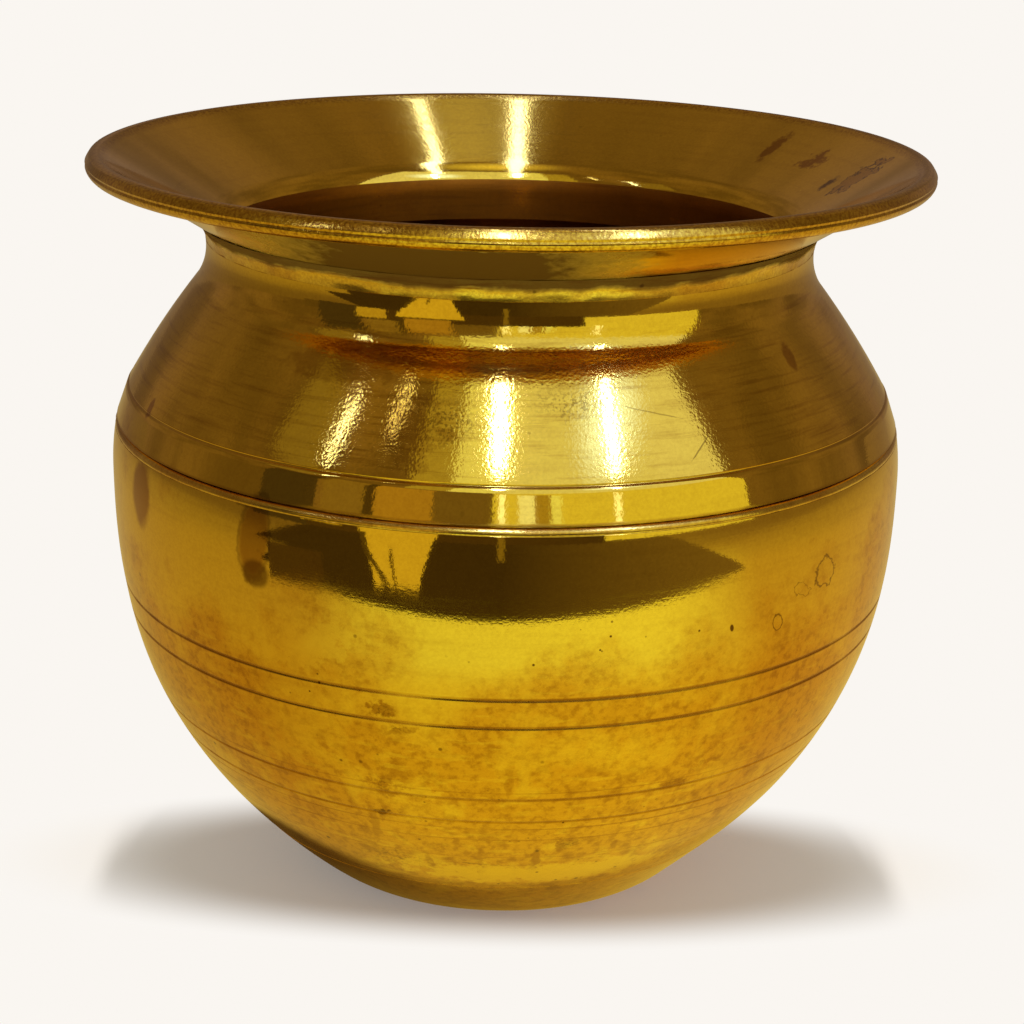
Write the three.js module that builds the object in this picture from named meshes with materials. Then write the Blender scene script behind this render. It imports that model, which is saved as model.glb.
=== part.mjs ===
// A brass lota: a round-bellied water vessel with a narrow neck and a wide flared mouth.
// It is put together as a brazier puts it together, from turned sheet parts that lap into each other
// and are brazed: a base, a bowl, a shoulder, and a mouth whose edge is rolled over a wire.
// Units are millimetres, +Z is up, and the origin is the centre of the flat foot.
import * as THREE from "three";

// Driving dimensions
const mouthDiameter = 116.9; // over the rolled edge
const flareSlope = THREE.MathUtils.degToRad(32.3); // of the mouth, above the horizontal
const neckDiameter = 84.8; // outside, at its narrowest
const neckHeight = 93.1;
const bellyDiameter = 112.2; // outside, at its widest
const bellyHeight = 61.6;
const footDiameter = 39; // the flat that it stands on

const bodySheet = 1.1; // wall of the base, the bowl and the shoulder
const mouthSheet = 0.8;
const lapGap = 0.25; // clearance between two lapped walls
const fillerGap = 0.2; // clearance round the filler of a joint

const baseSeam = 10.6; // height of the joint between base and bowl
const baseSeamWidth = 1.4; // the open groove there
const baseLap = 3.6; // how far the base's lip runs up inside the bowl
const bellySeam = 66.6; // height of the joint between bowl and shoulder
const bellySeamWidth = 2.2;
const bellyLap = 3.8; // how far the bowl's lip runs up inside the shoulder
const fillerRecess = 0.3; // how far the filler lies below the walls
const fillerBlunt = THREE.MathUtils.degToRad(3); // what the thin edge of the neck's filler falls short by

const bandHeight = 4.2; // the steep band above the belly's joint
const bandTaper = 1.5; // how much it draws in over that height
const shoulderSwell = 0.3; // how far the shoulder swells out from a straight cone
const neckSweep = 9; // radius of the hollow curve between shoulder and neck
const neckRise = 0.4; // how far the shoulder runs up past the narrowest place
const neckLap = 5; // how far the mouth's collar runs down inside the neck
const neckHollow = 4.6; // radius of the hollow corner above the neck, as the filler leaves it
const throatCurve = 4.6; // radius on which the mouth's sheet turns from its collar to its flare

const rollDiameter = 2.9; // the rolled edge, over its outside
const wireDiameter = 1; // the wire inside it
const rollOpening = 0.3; // between the tucked raw edge and the flare above it
const rollLineAngle = THREE.MathUtils.degToRad(-7); // place of the line scribed round the edge

const bowlDepth = 76; // below the belly, where the bowl's outline would close to a point
const bellyExponent = 2.47; // how round the bowl's outline is at the belly
const taperExponent = 1.12; // how straight it runs in to the base
const heelHeight = 3.2; // where the rounding above the foot has become the bowl's outline
const crownCurve = 34; // radius of the outline above the belly, up to the joint with the shoulder

const lineWidth = 0.6; // of a scribed line
const lineDepth = 0.22;
const bowlLines = [45.9, 41.8, 30.1, 26]; // heights of the lines scribed round the bowl

// How fine the solids are
const turnSteps = 48;
const wallStep = 4.6; // height between two points of a plain stretch of wall
const sweepSteps = 5;
const rollSteps = 12;
const wireSteps = 8;

const brass = 0xd0a235;
const filler = 0xe0bd55;

const neckRadius = neckDiameter / 2;
const bellyRadius = bellyDiameter / 2;
const rollRadius = rollDiameter / 2;
const rollHollow = rollRadius - mouthSheet; // radius of the space that the wire lies in
const bandFootHeight = bellySeam + bellySeamWidth;
const lipDepth = bodySheet + lapGap; // how far a lip is set in from the wall that it laps
const collarRadius = neckRadius - lipDepth;

const at = (radius, height) => new THREE.Vector2(radius, height);
const around = (centre, radius, angle) =>
  at(centre.x + radius * Math.cos(angle), centre.y + radius * Math.sin(angle));

// The flare's underside runs straight over the hollow corner above the neck. The curve by which the
// mouth's sheet leaves its collar, and the rolled edge, are centred so that they join it smoothly.
const acrossFlare = Math.PI / 2 + flareSlope;
const cornerCentre = at(neckRadius + neckHollow, neckHeight);
const throatCentre = underFlare(collarRadius + throatCurve, throatCurve);
const rollCentre = underFlare(mouthDiameter / 2 - rollRadius, rollHollow);

// The point at a radius that lies a distance below the flare's underside
function underFlare(radius, distance) {
  const rise = (radius - cornerCentre.x) * Math.tan(flareSlope);
  return at(radius, cornerCentre.y + rise + (neckHollow - distance) / Math.cos(flareSlope));
}

function arc(centre, radius, from, to, steps) {
  return Array.from({ length: steps + 1 }, (_, i) =>
    around(centre, radius, from + ((to - from) * i) / steps));
}

// A line moved sideways, to its left as it runs; each corner keeps the full distance to both sides
function moved(path, distance) {
  return path.map((point, i) => {
    const before = point.clone().sub(path[Math.max(0, i - 1)]);
    const after = path[Math.min(path.length - 1, i + 1)].clone().sub(point);
    const arriving = (before.length() > 0 ? before : after).clone().normalize();
    const leaving = (after.length() > 0 ? after : before).clone().normalize();
    const run = arriving.clone().add(leaving).normalize();
    const reach = distance / run.dot(leaving);
    return at(point.x - run.y * reach, point.y + run.x * reach);
  });
}

// A closed outline of radius and height, turned about the Z axis
function turned(name, outline, color) {
  const geometry = new THREE.LatheGeometry([...outline, outline[0]], turnSteps);
  geometry.rotateX(Math.PI / 2);
  const material = new THREE.MeshStandardMaterial({ color, roughness: 0.3, metalness: 1 });
  const mesh = new THREE.Mesh(geometry, material);
  mesh.name = name;
  return mesh;
}

// The bowl's outside radius at a height: fullest at the belly, drawn in above it and towards the base
function bowlRadius(height) {
  const below = bellyHeight - height;
  if (below < 0) return bellyRadius - crownCurve + Math.sqrt(crownCurve ** 2 - below ** 2);
  const share = Math.min(1, below / bowlDepth);
  return bellyRadius * (1 - share ** bellyExponent) ** (1 / taperExponent);
}

// The bowl's outside between two heights, with a notch for each line scribed in that stretch
function bowlWall(low, high, lines) {
  const steps = Math.max(2, Math.round((high - low) / wallStep));
  const plain = Array.from({ length: steps + 1 }, (_, i) => low + ((high - low) * i) / steps);
  const scribed = lines.filter((line) => line - lineWidth > low && line + lineWidth < high);
  const clear = plain.filter((z, i) =>
    i === 0 || i === steps || scribed.every((line) => Math.abs(line - z) > lineWidth * 2));
  const wall = clear.map((z) => at(bowlRadius(z), z));
  for (const line of scribed) {
    for (const z of [line - lineWidth / 2, line + lineWidth / 2]) wall.push(at(bowlRadius(z), z));
    wall.push(at(bowlRadius(line) - lineDepth, line));
  }
  return wall.sort((a, b) => a.y - b.y);
}

// The outside of the band above the belly's joint, from its foot to its head
function bandWall() {
  const foot = at(bowlRadius(bandFootHeight), bandFootHeight);
  return [foot, at(foot.x - bandTaper, foot.y + bandHeight)];
}

// The shoulder's outside: the band, a scribed line, a straight cone, and the hollow sweep of the neck
function shoulderWall() {
  const [foot, head] = bandWall();
  const centre = at(neckRadius + neckSweep, neckHeight);
  const away = centre.clone().sub(head);
  const lean = away.angle() + Math.asin(Math.min(1, neckSweep / away.length()));
  const touch = lean + Math.PI / 2;
  const end = Math.PI - Math.asin(neckRise / neckSweep);
  const cone = at(Math.cos(lean), Math.sin(lean));
  const line = head.clone().addScaledVector(cone, lineWidth / 2);
  line.x -= lineDepth;
  const start = head.clone().addScaledVector(cone, lineWidth);
  const sweep = arc(centre, neckSweep, touch, end, sweepSteps);
  const swelling = [0, 0.25, 0.5, 0.75].map((share) => {
    const swell = shoulderSwell * 4 * share * (1 - share);
    return start.clone().lerp(sweep[0], share).add(at(cone.y * swell, -cone.x * swell));
  });
  return [foot, head, line, ...swelling, ...sweep];
}

// The bowl's wall at a height, moved inwards by a depth
function bowlInset(height, depth) {
  const near = [height - lineWidth, height, height + lineWidth];
  return moved(near.map((z) => at(bowlRadius(z), z)), depth)[1];
}

// The ring of filler in a lapped joint. Its groove is open upwards of the height where the lower wall
// steps in, and closed by the upper wall's edge.
function seamFiller(name, seam, width) {
  const depth = lipDepth - fillerGap;
  const slant = width / 2 / lipDepth;
  const clear = fillerGap * Math.hypot(1, slant);
  const bottom = (inwards) => seam + slant * inwards + clear;
  const top = seam + width - fillerGap;
  return turned(name, [
    bowlInset(bottom(fillerRecess), fillerRecess),
    bowlInset(top, fillerRecess),
    bowlInset(top, depth),
    bowlInset(bottom(depth), depth),
  ], filler);
}

// The base: the foot, its rounded heel, the start of the bowl's outline, and a lip inside the bowl
function baseDisc() {
  const foot = at(footDiameter / 2, 0);
  const heelTop = at(bowlRadius(heelHeight), heelHeight);
  const slope = (bowlRadius(heelHeight + lineWidth) - heelTop.x) / lineWidth;
  const corner = at(heelTop.x - slope * heelHeight, 0);
  const heel = new THREE.QuadraticBezierCurve(foot, corner, heelTop).getPoints(sweepSteps);
  const outside = [at(0, 0), ...heel, ...bowlWall(heelHeight, baseSeam, []).slice(1)];
  const lipStart = baseSeam + baseSeamWidth / 2;
  const lip = moved(bowlWall(lipStart, baseSeam + baseSeamWidth + baseLap, []), lipDepth);
  const inside = moved([...outside, ...lip], bodySheet);
  inside[0].x = 0;
  return turned("base_disc", [...outside, ...lip, ...inside.reverse()], brass);
}

// The bowl: from its joint with the base up over the belly, and a lip inside the shoulder's band
function bowlShell() {
  const low = baseSeam + baseSeamWidth;
  const [foot, head] = bandWall();
  const rise = head.clone().sub(foot).normalize();
  const lipHead = foot.clone().addScaledVector(rise, bellyLap);
  const step = bowlInset(bellySeam + bellySeamWidth / 2, lipDepth);
  const lip = [step, ...moved([foot, lipHead], lipDepth)];
  const outside = [...bowlWall(low, bellySeam, bowlLines), ...lip];
  const inside = moved([...bowlWall(low, bellySeam, []), ...lip], bodySheet);
  return turned("bowl_shell", [...outside, ...inside.reverse()], brass);
}

function shoulderShell() {
  const outside = shoulderWall();
  const [foot, head, , , ...sweep] = outside;
  const inside = moved([foot, head, ...sweep], bodySheet);
  return turned("shoulder_shell", [...outside, ...inside.reverse()], brass);
}

// The mouth: a collar inside the neck, the flare, and its edge rolled outwards and down over the wire
function mouthFlange() {
  const collarFoot = at(collarRadius, neckHeight - neckLap);
  const under = arc(throatCentre, throatCurve, Math.PI, acrossFlare, sweepSteps);
  const tuck = Math.acos((rollHollow - rollOpening) / rollRadius);
  const rollEnd = acrossFlare + tuck - 2 * Math.PI;
  const hollow = arc(rollCentre, rollHollow, acrossFlare, rollEnd, rollSteps);
  const lineReach = lineWidth / 2 / rollRadius;
  const roll = [
    ...arc(rollCentre, rollRadius, rollEnd, rollLineAngle - lineReach, rollSteps / 2),
    around(rollCentre, rollRadius - lineDepth, rollLineAngle),
    ...arc(rollCentre, rollRadius, rollLineAngle + lineReach, acrossFlare, rollSteps / 2),
  ];
  const inside = arc(throatCentre, throatCurve + mouthSheet, acrossFlare, Math.PI, sweepSteps);
  const collarInside = at(collarRadius - mouthSheet, collarFoot.y);
  const outline = [collarFoot, ...under, ...hollow, ...roll, ...inside, collarInside];
  return turned("mouth_flange", outline, brass);
}

function rimWire() {
  const section = arc(rollCentre, wireDiameter / 2, 0, 2 * Math.PI, wireSteps).slice(1);
  return turned("rim_wire", section, brass);
}

// The fillet in the corner between the shoulder's upper edge and the flare: a hollow face outside, and a
// back that follows the mouth's sheet. The two meet in an edge that is left a little blunt.
function neckFiller() {
  const floor = neckHeight + neckRise + fillerGap;
  const reach = throatCurve - fillerGap;
  const apart = throatCentre.clone().sub(cornerCentre);
  const along = (neckHollow ** 2 - reach ** 2 + apart.lengthSq()) / (2 * apart.length());
  const edgeAngle = apart.angle() - Math.acos(along / neckHollow);
  const edge = around(cornerCentre, neckHollow, edgeAngle);
  const faceFoot = Math.PI - Math.asin((floor - cornerCentre.y) / neckHollow);
  const backFoot = Math.PI - Math.asin((floor - throatCentre.y) / reach);
  const backTop = edge.clone().sub(throatCentre).angle();
  const face = arc(cornerCentre, neckHollow, faceFoot, edgeAngle + fillerBlunt, sweepSteps);
  const back = arc(throatCentre, reach, backTop + fillerBlunt, backFoot, sweepSteps);
  return turned("neck_braze", [...face, ...back], filler);
}

const lota = new THREE.Group();
lota.add(
  baseDisc(),
  seamFiller("base_braze", baseSeam, baseSeamWidth),
  bowlShell(),
  seamFiller("belly_braze", bellySeam, bellySeamWidth),
  shoulderShell(),
  neckFiller(),
  mouthFlange(),
  rimWire(),
);
export default lota;
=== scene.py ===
# A brass lota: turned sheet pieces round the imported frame, in worn brass, on a pale studio floor.
import math

import bmesh
import bpy
from mathutils import Matrix, Vector, noise


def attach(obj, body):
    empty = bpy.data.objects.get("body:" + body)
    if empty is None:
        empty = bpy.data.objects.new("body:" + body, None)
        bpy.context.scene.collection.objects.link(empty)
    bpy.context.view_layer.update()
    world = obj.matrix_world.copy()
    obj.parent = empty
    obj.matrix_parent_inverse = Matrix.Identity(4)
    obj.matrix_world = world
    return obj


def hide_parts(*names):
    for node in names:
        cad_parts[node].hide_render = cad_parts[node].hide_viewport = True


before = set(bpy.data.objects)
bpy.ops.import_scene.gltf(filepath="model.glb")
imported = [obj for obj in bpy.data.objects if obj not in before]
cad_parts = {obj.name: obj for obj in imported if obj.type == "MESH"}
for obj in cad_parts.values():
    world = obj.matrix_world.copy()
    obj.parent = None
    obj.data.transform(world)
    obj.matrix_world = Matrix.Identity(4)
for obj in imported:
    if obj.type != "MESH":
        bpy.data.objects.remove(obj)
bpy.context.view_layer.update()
scene = bpy.context.scene
scene.view_settings.view_transform = "Standard"
mm = 0.001
print("frame:", ", ".join(sorted(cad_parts)))

# Camera, at the photograph's angle: lens and sensor in mm, distance and target in mm, turns in degrees

photoView = {"lens": 78.6, "sensor": 36, "distance": 327.06, "elevation": 18.191, "roll": 1.181,
             "target": (1.05, 0, 52.47), "nearest": 0.01, "farthest": 30}


def placeCamera(view):
    elevation, roll = math.radians(view["elevation"]), math.radians(view["roll"])
    back = Vector((0, -math.cos(elevation), math.sin(elevation)))
    across, up = Vector((1, 0, 0)), Vector((0, math.sin(elevation), math.cos(elevation)))
    right = across * math.cos(roll) + up * math.sin(roll)
    above = up * math.cos(roll) - across * math.sin(roll)
    data = bpy.data.cameras.new("photoCamera")
    data.sensor_width, data.lens = view["sensor"], view["lens"]
    data.clip_start, data.clip_end = view["nearest"], view["farthest"]
    camera = bpy.data.objects.new("photoCamera", data)
    place = (Vector(view["target"]) + back * view["distance"]) * mm
    turn = Matrix((right, above, back)).transposed().to_4x4()
    camera.matrix_world = Matrix.Translation(place) @ turn
    scene.collection.objects.link(camera)
    scene.camera = camera


placeCamera(photoView)
print("camera placed")

# Nodes: an input is a socket to link or a fixed value


def feed(tree, node, inputs):
    for socket, value in inputs.items():
        if isinstance(value, bpy.types.NodeSocket):
            tree.links.new(value, node.inputs[socket])
        else:
            node.inputs[socket].default_value = value


def addNode(tree, kind, inputs=None, **settings):
    node = tree.nodes.new(kind)
    for key, value in settings.items():
        setattr(node, key, value)
    feed(tree, node, inputs or {})
    return node


def sums(tree, operation, *values, clamp=False):
    node = addNode(tree, "ShaderNodeMath", dict(enumerate(values)), operation=operation, use_clamp=clamp)
    return node.outputs[0]


def total(tree, first, *others, clamp=False):
    for value in others:
        first = sums(tree, "ADD", first, value, clamp=clamp)
    return first


def product(tree, first, *others, clamp=False):
    for value in others:
        first = sums(tree, "MULTIPLY", first, value, clamp=clamp)
    return first


def vectors(tree, operation, *values):
    return addNode(tree, "ShaderNodeVectorMath", dict(enumerate(values)), operation=operation).outputs[0]


def scaled(tree, vector, factor):
    return addNode(tree, "ShaderNodeVectorMath", {0: vector, "Scale": factor}, operation="SCALE").outputs[0]


def lengthOf(tree, vector):
    return addNode(tree, "ShaderNodeVectorMath", {0: vector}, operation="LENGTH").outputs["Value"]


def split(tree, vector):
    return addNode(tree, "ShaderNodeSeparateXYZ", {0: vector}).outputs


def ranged(tree, value, start, end, top=1.0, smooth=False):
    # 0 up to the start, then rising to the top at the end, which may be the lower of the two
    node = addNode(
        tree, "ShaderNodeMapRange", {"Value": value, "From Min": start, "From Max": end, "To Max": top},
        interpolation_type="SMOOTHSTEP" if smooth else "LINEAR")
    return node.outputs[0]


def blended(tree, factor, first, second):
    return addNode(tree, "ShaderNodeMix", {0: factor, 6: first, 7: second}, data_type="RGBA").outputs[2]


def objectPlace(tree):
    return addNode(tree, "ShaderNodeTexCoord").outputs["Object"]


def newMaterial(name):
    material = bpy.data.materials.new(name)
    material.use_nodes = True
    material.node_tree.nodes.clear()
    return material, material.node_tree


def showShader(tree, shader):
    output = tree.nodes.new("ShaderNodeOutputMaterial")
    tree.links.new(shader.outputs[0], output.inputs[0])


# Node groups


def newGroup(name, inputs, outputs):
    group = bpy.data.node_groups.new(name, "ShaderNodeTree")
    for socketName, kind, value in inputs:
        socket = group.interface.new_socket(socketName, in_out="INPUT", socket_type="NodeSocket" + kind)
        if value is not None:
            socket.default_value = value
    for socketName, kind in outputs:
        group.interface.new_socket(socketName, in_out="OUTPUT", socket_type="NodeSocket" + kind)
    return group, group.nodes.new("NodeGroupInput").outputs, group.nodes.new("NodeGroupOutput").inputs


def placedGroup(tree, group, inputs, output):
    node = tree.nodes.new("ShaderNodeGroup")
    node.node_tree = group
    feed(tree, node, inputs)
    return node.outputs[output]


def makeTurningMarks():
    # Rings left by the lathe and the polishing cloth: fine across the wall, long around it
    group, given, out = newGroup(
        "turningMarks",
        [("Vector", "Vector", None), ("Pitch", "Float", 0.5), ("Around", "Float", 3.0),
         ("Detail", "Float", 2.0)],
        [("Height", "Float")])
    inMm = scaled(group, given["Vector"], 1 / mm)
    flat = vectors(group, "MULTIPLY", inMm, (1, 1, 0))
    around = split(group, scaled(group, vectors(group, "NORMALIZE", flat), given["Around"]))
    level = sums(group, "DIVIDE", split(group, inMm)[2], given["Pitch"])
    place = addNode(group, "ShaderNodeCombineXYZ", {0: around[0], 1: around[1], 2: level}).outputs[0]
    reach = sums(group, "DIVIDE", lengthOf(group, flat), given["Pitch"])
    texture = addNode(
        group, "ShaderNodeTexNoise",
        {"Vector": place, "W": reach, "Scale": 1.0, "Detail": given["Detail"], "Roughness": 0.6},
        noise_dimensions="4D")
    group.links.new(texture.outputs[0], out["Height"])
    return group


def makeBlotches():
    # Uneven patches between two noise levels
    group, given, out = newGroup(
        "blotches",
        [("Vector", "Vector", None), ("Size", "Float", 10.0), ("Low", "Float", 0.45), ("High", "Float", 0.65),
         ("Detail", "Float", 4.0), ("Seed", "Float", 0.0)],
        [("Mask", "Float")])
    scale = sums(group, "DIVIDE", 1 / mm, given["Size"])
    texture = addNode(
        group, "ShaderNodeTexNoise",
        {"Vector": given["Vector"], "W": given["Seed"], "Scale": scale, "Detail": given["Detail"],
         "Roughness": 0.62},
        noise_dimensions="4D")
    mask = ranged(group, texture.outputs[0], given["Low"], given["High"], smooth=True)
    group.links.new(mask, out["Mask"])
    return group


def makePits():
    # Scattered specks: a share of the cells holds one, and its size varies
    group, given, out = newGroup(
        "pits",
        [("Vector", "Vector", None), ("Spacing", "Float", 3.0), ("Share", "Float", 0.2),
         ("Radius", "Float", 0.1)],
        [("Mask", "Float")])
    scale = sums(group, "DIVIDE", 1 / mm, given["Spacing"])
    cells = addNode(group, "ShaderNodeTexVoronoi", {"Vector": given["Vector"], "Scale": scale}, feature="F1")
    colour = addNode(group, "ShaderNodeSeparateColor", {0: cells.outputs["Color"]}).outputs
    chosen = sums(group, "LESS_THAN", colour[0], given["Share"])
    reach = product(group, given["Radius"], total(group, colour[1], 0.4))
    near = ranged(group, cells.outputs["Distance"], reach, product(group, reach, 0.5))
    group.links.new(product(group, chosen, near), out["Mask"])
    return group


def makeSpots():
    # One located mark: a ragged ellipse on the wall, turned to its place, and the line round it
    outlineAt = 0.85
    group, given, out = newGroup(
        "spots",
        [("Vector", "Vector", None), ("Ragging", "Vector", None), ("Place", "Vector", (0, 0, 0)),
         ("Turn", "Float", 0.0), ("Tilt", "Float", 0.0), ("Reach", "Vector", (1, 1, 1)),
         ("Ragged", "Float", 0.3), ("Softness", "Float", 0.25)],
        [("Mask", "Float"), ("Edge", "Float")])
    off = vectors(group, "SUBTRACT", scaled(group, given["Vector"], 1 / mm), given["Place"])
    turned = addNode(group, "ShaderNodeVectorRotate", {"Vector": off, "Angle": given["Turn"]},
                     rotation_type="Z_AXIS", invert=True).outputs[0]
    tilted = addNode(group, "ShaderNodeVectorRotate", {"Vector": turned, "Angle": given["Tilt"]},
                     rotation_type="Y_AXIS").outputs[0]
    share = vectors(group, "DIVIDE", tilted, given["Reach"])
    reach = lengthOf(group, vectors(group, "ADD", share, scaled(group, given["Ragging"], given["Ragged"])))
    inside = ranged(group, reach, 1.0, sums(group, "SUBTRACT", 1.0, given["Softness"]), smooth=True)
    fromEdge = sums(group, "ABSOLUTE", sums(group, "SUBTRACT", reach, outlineAt))
    edge = ranged(group, fromEdge, given["Softness"], 0.0, smooth=True)
    group.links.new(inside, out["Mask"])
    group.links.new(edge, out["Edge"])
    return group


turningMarks = makeTurningMarks()
blotches = makeBlotches()
pits = makePits()
spots = makeSpots()

# Brass, in three finishes: heights in mm, depths in mm, shares and strengths from 0 to 1

turnedBrass = {
    "name": "turnedBrass",
    "clean": (0.83, 0.54, 0.042, 1), "aged": (0.62, 0.285, 0.014, 1), "brown": (0.33, 0.13, 0.008, 1),
    # The last colour here is painted shade, laid under the flare
    "dirt": (0.12, 0.045, 0.005, 1), "paintedShadeColour": (0.095, 0.041, 0.004, 1),
    # Patina: everywhere a little, then strongly below a height; and painted shade at the left and right sides,
    # laid in with the patina
    "patinaTop": 57, "patinaFull": 36, "patinaRagged": 1.5, "patinaStrength": 0.75, "sideShadeStrength": 0.7,
    "brownShare": 0.60, "brownTop": 48, "brownFull": 32, "gritShare": 0.88, "scuffShare": 0.55,
    "streakShare": 0.55, "pitShare": 0.22,
    "roughness": 0.035, "agedRoughness": 0.10, "grainRoughness": 0.03,
    "markDepth": 0.0016, "grainDepth": 0.0032,
    # The shoulder is brushed, not polished
    "brushedFrom": 73.4, "brushedTo": 74.2, "brushedEnd": 89, "brushedGrain": 2.9, "brushedRoughness": 0.04,
    "brushedStreaks": 0.5, "mouthRoughness": 0.025, "mouthGrain": 0.3,
    "rollRoughness": 0.10, "rollGrain": 3.0, "rollBrown": 0.45, "grainShare": 0.12,
}
darkInside = {
    "name": "darkInside",
    "clean": (0.27, 0.090, 0.004, 1), "aged": (0.20, 0.062, 0.003, 1), "brown": (0.08, 0.026, 0.003, 1),
    "dirt": (0.03, 0.012, 0.003, 1),
    "patinaTop": 110, "patinaFull": 60, "patinaRagged": 1.2, "patinaStrength": 0.7, "sideShadeStrength": 0.2,
    "brownShare": 0.5, "brownTop": 100, "brownFull": 20, "gritShare": 0.2, "scuffShare": 0.1, "streakShare": 0,
    "pitShare": 0.2,
    "roughness": 0.42, "agedRoughness": 0.08, "grainRoughness": 0.05,
    "markDepth": 0.004, "grainDepth": 0.006,
    "brushedFrom": 73, "brushedTo": 74, "brushedEnd": 120, "brushedGrain": 0.5, "brushedRoughness": 0.02,
    "brushedStreaks": 0.3, "mouthRoughness": 0, "mouthGrain": 0,
    "rollRoughness": 0, "rollGrain": 0, "rollBrown": 0, "grainShare": 0.1,
}
filedBraze = {
    "name": "filedBraze",
    "clean": (0.88, 0.62, 0.07, 1), "aged": (0.62, 0.32, 0.03, 1), "brown": (0.32, 0.13, 0.012, 1),
    # The last colour here is painted shade, laid in the crease under the flare
    "dirt": (0.05, 0.02, 0.004, 1), "paintedShadeColour": (0.105, 0.050, 0.006, 1),
    "patinaTop": 130, "patinaFull": 40, "patinaRagged": 2.4, "patinaStrength": 0.6, "sideShadeStrength": 0.3,
    "brownShare": 0.3, "brownTop": 100, "brownFull": 20, "gritShare": 0.5, "scuffShare": 0.3, "streakShare": 0,
    "pitShare": 0.5,
    "roughness": 0.12, "agedRoughness": 0.12, "grainRoughness": 0.10,
    "markDepth": 0.004, "grainDepth": 0.010,
    "brushedFrom": 94.3, "brushedTo": 95.3, "brushedEnd": 120, "brushedGrain": 0.5, "brushedRoughness": 0.1,
    # From this height up, the braze in the crease under the flare gets painted shade
    "brushedStreaks": 1.8, "shadeFrom": 94.7, "mouthRoughness": 0, "mouthGrain": 0,
    "rollRoughness": 0, "rollGrain": 0, "rollBrown": 0, "grainShare": 0.3,
}

# Dirt in the scribed lines and thin scratched rings: height in mm, half width, strength
ringLines = {
    "bodyFirst": (45.9, 0.27, 0.9), "bodySecond": (41.8, 0.27, 0.9), "lowFirst": (30.1, 0.24, 0.85),
    "lowSecond": (26.0, 0.22, 0.8), "faintAbove": (31.3, 0.09, 0.5), "faintLow": (24.6, 0.12, 0.65),
    "faintLower": (22.4, 0.12, 0.6), "faintLowest": (18.6, 0.10, 0.4), "shoulderLine": (73.15, 0.10, 0.5),
    "baseJoint": (11.3, 0.30, 0.25), "bellyJoint": (68.7, 0.30, 0.75),
}

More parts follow.
